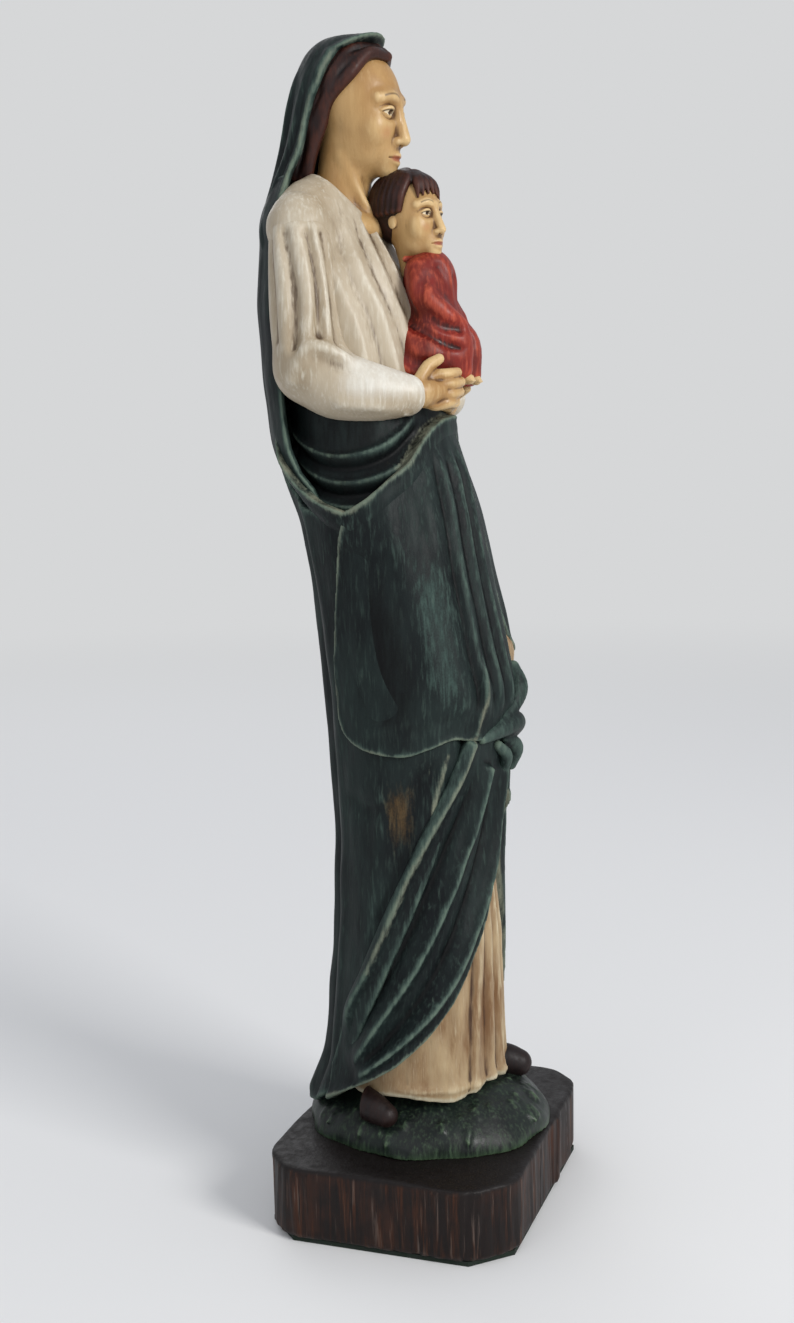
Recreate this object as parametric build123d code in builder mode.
"""Standing mother-and-child devotional statue: a carved and painted figure on a stained block.

Millimetres, +Z up. The origin is the middle of the base's underside. The figure faces -Y
and her right side is at -X.
"""

import os

from build123d import *

# ---- driving dimensions -------------------------------------------------------------------
TOTAL_HEIGHT = 300.0
BASE_WIDTH = 85.0
BASE_DEPTH = 67.4
BASE_HEIGHT = 20.0
BASE_CORNER = 9.2
FELT_THICKNESS = 1.2
FELT_INSET = 1.5

MOUND_WIDTH = 60.0
MOUND_DEPTH = 66.0
MOUND_HEIGHT = 7.0

SCREW_SPACING = 24.0
SCREW_SHANK_R = 1.6
SCREW_HEAD_R = 3.5
SCREW_HEAD_HEIGHT = 2.4
SCREW_LENGTH = 34.0
HEAD_POCKET_R = 4.2
HEAD_POCKET_DEPTH = 5.0
FIT_GAP = 0.1

BASE_TOP = BASE_HEIGHT
MOUND_TOP = BASE_TOP + MOUND_HEIGHT
HEM = MOUND_TOP
WAIST = 185.0
SHOULDER = 262.0
BIG = 500.0

# Oval levels: height, half width, half depth, centre towards the back.
MANTLE_LEVELS = [
    (HEM, 29.0, 25.5, 5.5),
    (40, 28.0, 23.5, 3.0),
    (70, 27.0, 22.5, 1.5),
    (100, 26.5, 22.0, 1.0),
    (135, 28.0, 24.0, 0.0),
    (165, 29.0, 23.0, 4.0),
    (190, 29.0, 23.0, 11.0),
    (215, 28.0, 22.5, 16.5),
    (250, 22.0, 19.0, 21.0),
]
DRESS_LEVELS = [
    (HEM, 24.0, 21.0, 0.0),
    (60, 22.5, 18.5, -1.0),
    (100, 21.0, 17.0, -2.0),
    (135, 21.0, 17.0, -1.5),
    (160, 22.0, 17.0, 2.5),
    (WAIST, 22.5, 17.5, 8.5),
]
BODICE_LEVELS = [
    (WAIST, 22.5, 17.5, 8.5),
    (205, 21.0, 18.0, 12.5),
    (230, 21.5, 17.0, 16.5),
    (250, 20.0, 13.0, 20.0),
    (SHOULDER, 11.0, 8.0, 20.5),
]
VEIL_LEVELS = [
    (250, 22.0, 14.0, 26.0),
    (262, 17.0, 12.5, 24.3),
    (271, 14.5, 14.0, 20.8),
    (281, 14.0, 15.5, 18.1),
    (290, 12.5, 14.5, 16.1),
    (296.5, 8.5, 10.5, 15.2),
    (TOTAL_HEIGHT, 2.0, 3.0, 15.0),
]
ROBE_LEVELS = [
    (211, 8.0, 7.0, -5.0),
    (218, 10.0, 9.5, -4.5),
    (230, 9.5, 10.0, -4.5),
    (241, 7.0, 7.5, -3.0),
    (247, 3.5, 3.5, -1.5),
]
ROBE_X = 3.0

HEAD_CENTRE = (0.0, 15.5, 282.0)
HEAD_HALF = (11.0, 14.0, 15.8)
NECK = [(0.0, 20.5, 255.0), (0.0, 17.0, 272.0)]
NECK_R = 7.5
HAIR_THICKNESS = 1.3

CHILD_HEAD_CENTRE = (4.0, -0.5, 257.0)
CHILD_HEAD_HALF = (8.3, 9.0, 9.6)
CHILD_HAIR_THICKNESS = 0.9

RIGHT_ARM = [(-20.5, 24.0, 248.5), (-24.5, 20.0, 212.0), (-15.0, -5.0, 208.5)]
RIGHT_ARM_R = [9.0, 9.5, 5.0]
LEFT_ARM = [(20.0, 24.0, 249.0), (24.5, 20.0, 213.0), (13.0, -1.0, 207.5)]
LEFT_ARM_R = [9.0, 9.5, 5.0]


# ---- shapes used more than once -----------------------------------------------------------
def oval_loft(levels, x=0.0):
    """Loft the current part through ovals at their levels."""
    ovals = []
    for level, half_width, half_depth, y in levels:
        with BuildSketch(Plane.XY.offset(level)) as oval:
            with Locations((x, y)):
                Ellipse(half_width, half_depth)
        ovals.append(oval.sketch)
    loft(sections=ovals)


def ellipsoid(centre, half):
    """An egg shape, made outside the current part's own solids."""
    return Pos(*centre) * scale(Sphere(1.0, mode=Mode.PRIVATE), by=half, mode=Mode.PRIVATE)


def limb(points, radii):
    """A round limb through the points, with a ball at each bend and end."""
    for k in range(len(points) - 1):
        start = Vector(*points[k])
        end = Vector(*points[k + 1])
        rings = []
        for point, radius in ((start, radii[k]), (end, radii[k + 1])):
            with BuildSketch(Plane(origin=point, z_dir=end - start)) as ring:
                Circle(radius)
            rings.append(ring.sketch)
        loft(sections=rings)
    for point, radius in zip(points, radii):
        with Locations(point):
            Sphere(radius)


def cut_away(*solids):
    """Take the finished neighbours out of the current part."""
    for solid in solids:
        add(solid, mode=Mode.SUBTRACT)


def keep_box(low, high):
    """Keep only what lies between two corners."""
    middle = tuple((a + b) / 2 for a, b in zip(low, high))
    size = [b - a for a, b in zip(low, high)]
    with Locations(middle):
        Box(*size, mode=Mode.INTERSECT)


# ---- base ---------------------------------------------------------------------------------
screw_spots = [(-SCREW_SPACING / 2, 0.0), (SCREW_SPACING / 2, 0.0)]
screw_seat = FELT_THICKNESS + HEAD_POCKET_DEPTH

with BuildPart() as base_block:
    with BuildSketch(Plane.XY.offset(FELT_THICKNESS)) as block_plan:
        Rectangle(BASE_WIDTH, BASE_DEPTH)
        chamfer(block_plan.vertices(), length=BASE_CORNER)
    extrude(amount=BASE_TOP - FELT_THICKNESS)
    top_edges = base_block.faces().sort_by(Axis.Z)[-1].edges()
    fillet(top_edges, radius=1.0)
    with BuildSketch(Plane.XY.offset(FELT_THICKNESS)):
        with Locations(*screw_spots):
            Circle(HEAD_POCKET_R)
    extrude(amount=HEAD_POCKET_DEPTH, mode=Mode.SUBTRACT)
    with BuildSketch(Plane.XY.offset(screw_seat)):
        with Locations(*screw_spots):
            Circle(SCREW_SHANK_R + FIT_GAP)
    extrude(amount=BASE_HEIGHT, mode=Mode.SUBTRACT)
base_block.part.label = "base_block"

with BuildPart() as base_felt:
    with BuildSketch() as felt_plan:
        Rectangle(BASE_WIDTH - 2 * FELT_INSET, BASE_DEPTH - 2 * FELT_INSET)
        chamfer(felt_plan.vertices(), length=BASE_CORNER)
    extrude(amount=FELT_THICKNESS)
base_felt.part.label = "base_felt"

with BuildPart() as base_screws:
    with BuildSketch(Plane.XY.offset(screw_seat - SCREW_HEAD_HEIGHT)):
        with Locations(*screw_spots):
            Circle(SCREW_HEAD_R)
    extrude(amount=SCREW_HEAD_HEIGHT)
    with BuildSketch(Plane.XY.offset(screw_seat)):
        with Locations(*screw_spots):
            Circle(SCREW_SHANK_R)
    extrude(amount=SCREW_LENGTH)
base_screws.part.label = "base_screws"

with BuildPart() as ground_mound:
    oval_loft(
        [
            (BASE_TOP, MOUND_WIDTH / 2, MOUND_DEPTH / 2, 0.0),
            (BASE_TOP + 4.0, MOUND_WIDTH / 2 - 0.8, MOUND_DEPTH / 2 - 0.8, 0.0),
            (MOUND_TOP, MOUND_WIDTH / 2 - 4.0, MOUND_DEPTH / 2 - 4.0, 0.0),
        ]
    )
    with BuildSketch(Plane.XY.offset(BASE_TOP)):
        with Locations(*screw_spots):
            Circle(SCREW_SHANK_R + FIT_GAP)
    extrude(amount=MOUND_HEIGHT, mode=Mode.SUBTRACT)
ground_mound.part.label = "ground_mound"

# ---- dress and shoes ----------------------------------------------------------------------
with BuildPart() as under_dress:
    oval_loft(DRESS_LEVELS)
    cut_away(base_screws.part)
under_dress.part.label = "under_dress"

with BuildPart() as bodice:
    oval_loft(BODICE_LEVELS)
bodice.part.label = "bodice"

shoe_profiles = {
    "right_shoe": [(-24.0, 0.0, MOUND_TOP + 3.2), (-26.3, -7.0, MOUND_TOP + 2.4)],
    "left_shoe": [(9.0, -17.0, MOUND_TOP + 3.4), (11.0, -25.5, MOUND_TOP + 2.6)],
}


def shoe(points):
    """A blunt shoe toe that rests on the mound and disappears under the dress."""
    limb(points, [4.2, 3.6])
    cut_away(under_dress.part)
    keep_box((-BIG, -BIG, MOUND_TOP), (BIG, BIG, BIG))


with BuildPart() as right_shoe:
    shoe(shoe_profiles["right_shoe"])
right_shoe.part.label = "right_shoe"

with BuildPart() as left_shoe:
    shoe(shoe_profiles["left_shoe"])
left_shoe.part.label = "left_shoe"

# ---- heads --------------------------------------------------------------------------------
head_egg = ellipsoid(HEAD_CENTRE, HEAD_HALF)
hair_half = tuple(h + HAIR_THICKNESS for h in HEAD_HALF)
hair_egg = ellipsoid(HEAD_CENTRE, hair_half)

with BuildPart() as mother_head:
    limb(NECK, [NECK_R, NECK_R])
    add(head_egg)
    cut_away(bodice.part)
mother_head.part.label = "mother_head"

# The veil's rim lies in a plane that leans back from the crown to the shoulders.
rim_plane = Plane(origin=(0.0, 5.0, 298.0), x_dir=(1, 0, 0), z_dir=(0, -37, -20))
hair_plane = rim_plane.offset(3.5)

with BuildPart() as mother_hair:
    add(hair_egg)
    split(bisect_by=hair_plane, keep=Keep.BOTTOM)
    cut_away(mother_head.part, bodice.part)
    keep_box((-BIG, -BIG, 266.0), (BIG, BIG, BIG))
mother_hair.part.label = "mother_hair"

# ---- sleeves and hands --------------------------------------------------------------------
with BuildPart() as right_sleeve:
    limb(RIGHT_ARM, RIGHT_ARM_R)
    cut_away(bodice.part)
right_sleeve.part.label = "right_sleeve"

with BuildPart() as left_sleeve:
    limb(LEFT_ARM, LEFT_ARM_R)
    cut_away(bodice.part)
left_sleeve.part.label = "left_sleeve"

with BuildPart() as veil:
    oval_loft(VEIL_LEVELS)
    split(bisect_by=rim_plane, keep=Keep.BOTTOM)
    cut_away(hair_egg, mother_head.part, bodice.part, right_sleeve.part, left_sleeve.part)
veil.part.label = "veil"

# ---- child --------------------------------------------------------------------------------
with BuildPart() as child_robe:
    oval_loft(ROBE_LEVELS, x=ROBE_X)
    cut_away(bodice.part, left_sleeve.part, right_sleeve.part)
child_robe.part.label = "child_robe"

child_egg = ellipsoid(CHILD_HEAD_CENTRE, CHILD_HEAD_HALF)
child_hair_half = tuple(h + CHILD_HAIR_THICKNESS for h in CHILD_HEAD_HALF)
child_fringe = Plane(origin=(4.0, -6.0, 260.0), x_dir=(1, 0, 0), z_dir=(0, -1, -0.75))

with BuildPart() as child_head:
    add(child_egg)
    cut_away(child_robe.part, bodice.part)
child_head.part.label = "child_head"

with BuildPart() as child_hair:
    add(ellipsoid(CHILD_HEAD_CENTRE, child_hair_half))
    split(bisect_by=child_fringe, keep=Keep.BOTTOM)
    cut_away(child_head.part, child_robe.part, bodice.part, mother_head.part)
child_hair.part.label = "child_hair"

with BuildPart() as right_hand:
    limb([(-14.0, -8.5, 209.0), (-6.5, -14.5, 211.5), (2.0, -17.0, 214.0)], [4.4, 4.6, 3.0])
    cut_away(right_sleeve.part, child_robe.part)
right_hand.part.label = "right_hand"

with BuildPart() as left_hand:
    limb([(12.0, -4.0, 206.5), (5.0, -7.0, 206.0), (-2.0, -6.0, 207.5)], [4.2, 4.2, 3.0])
    cut_away(left_sleeve.part, child_robe.part, right_hand.part, right_sleeve.part, bodice.part)
left_hand.part.label = "left_hand"

foot_spots = [(0.5, -13.5, 217.5), (6.0, -13.0, 216.5)]
with BuildPart() as child_feet:
    for spot in foot_spots:
        limb([spot, (spot[0], spot[1] - 4.0, spot[2] - 1.0)], [2.2, 1.9])
    cut_away(child_robe.part, right_hand.part, left_hand.part)
child_feet.part.label = "child_feet"

# ---- mantle -------------------------------------------------------------------------------
inner_solids = [
    base_screws.part,
    under_dress.part,
    bodice.part,
    right_sleeve.part,
    left_sleeve.part,
    right_shoe.part,
    left_shoe.part,
    child_robe.part,
    right_hand.part,
    left_hand.part,
    veil.part,
    mother_head.part,
    mother_hair.part,
]


with BuildPart() as mantle_wrap:
    oval_loft(MANTLE_LEVELS)
    cut_away(*inner_solids)


def slab(low_z, high_z, low_y=-BIG, high_y=BIG, low_x=-BIG, high_x=BIG):
    """The part of the whole wrap between two heights, depths and widths."""
    add(mantle_wrap.part)
    keep_box((low_x, low_y, low_z), (high_x, high_y, high_z))


APRON_BOTTOM = 123.0
APRON_SIDE = 13.0
APRON_LEFT = 14.0
SLING_TOP = 203.0
CAPE_FRONT = 27.0

# The dress shows in front between two slanting hems that meet under the knot.
right_hem = Plane(origin=(0.0, 0.0, 105.0), x_dir=(0, 1, 0), z_dir=(62, 0, -27))
left_hem = Plane(origin=(0.0, 0.0, 112.0), x_dir=(0, 1, 0), z_dir=(-85, 0, -20))

with BuildPart() as mantle_cape:
    slab(SLING_TOP, 250.0, low_y=CAPE_FRONT)
mantle_cape.part.label = "mantle_cape"

with BuildPart() as mantle_sling:
    slab(WAIST, SLING_TOP)
mantle_sling.part.label = "mantle_sling"

with BuildPart() as mantle_apron:
    slab(APRON_BOTTOM, WAIST, high_y=APRON_SIDE, high_x=APRON_LEFT)
    cut_away(*mantle_apron.solids().sort_by(SortBy.VOLUME)[:-1])
mantle_apron.part.label = "mantle_apron"

with BuildPart() as mantle_swag:
    slab(HEM, APRON_BOTTOM, high_y=0.0, high_x=0.0)
    split(bisect_by=right_hem, keep=Keep.BOTTOM)
mantle_swag.part.label = "mantle_swag"

with BuildPart() as mantle_left_fall:
    slab(HEM, APRON_BOTTOM, high_y=0.0, low_x=0.0)
    split(bisect_by=left_hem, keep=Keep.BOTTOM)
mantle_left_fall.part.label = "mantle_left_fall"

with BuildPart() as mantle_left_wrap:
    slab(APRON_BOTTOM, WAIST, high_y=APRON_SIDE, low_x=APRON_LEFT)
mantle_left_wrap.part.label = "mantle_left_wrap"

with BuildPart() as mantle_body:
    slab(HEM, WAIST, low_y=0.0)
    with Locations((0.0, APRON_SIDE / 2, (APRON_BOTTOM + WAIST) / 2)):
        Box(BIG, APRON_SIDE, WAIST - APRON_BOTTOM, mode=Mode.SUBTRACT)
    cut_away(*mantle_body.solids().sort_by(SortBy.VOLUME)[:-1])
mantle_body.part.label = "mantle_body"

with BuildPart() as hip_knot:
    add(ellipsoid((1.0, -24.5, 128.0), (9.0, 5.5, 8.0)))
    keep_box((-BIG, -BIG, APRON_BOTTOM), (APRON_LEFT, BIG, BIG))
    cut_away(mantle_apron.part)
hip_knot.part.label = "hip_knot"

# ---- files --------------------------------------------------------------------------------
pieces = [
    base_block,
    base_felt,
    base_screws,
    ground_mound,
    under_dress,
    bodice,
    right_shoe,
    left_shoe,
    mother_head,
    mother_hair,
    veil,
    right_sleeve,
    left_sleeve,
    right_hand,
    left_hand,
    child_robe,
    child_head,
    child_hair,
    child_feet,
    mantle_cape,
    mantle_sling,
    mantle_apron,
    mantle_swag,
    mantle_left_fall,
    mantle_left_wrap,
    mantle_body,
    hip_knot,
]
os.makedirs("parts", exist_ok=True)
for piece in pieces:
    export_step(piece.part, f"parts/{piece.part.label}.step")
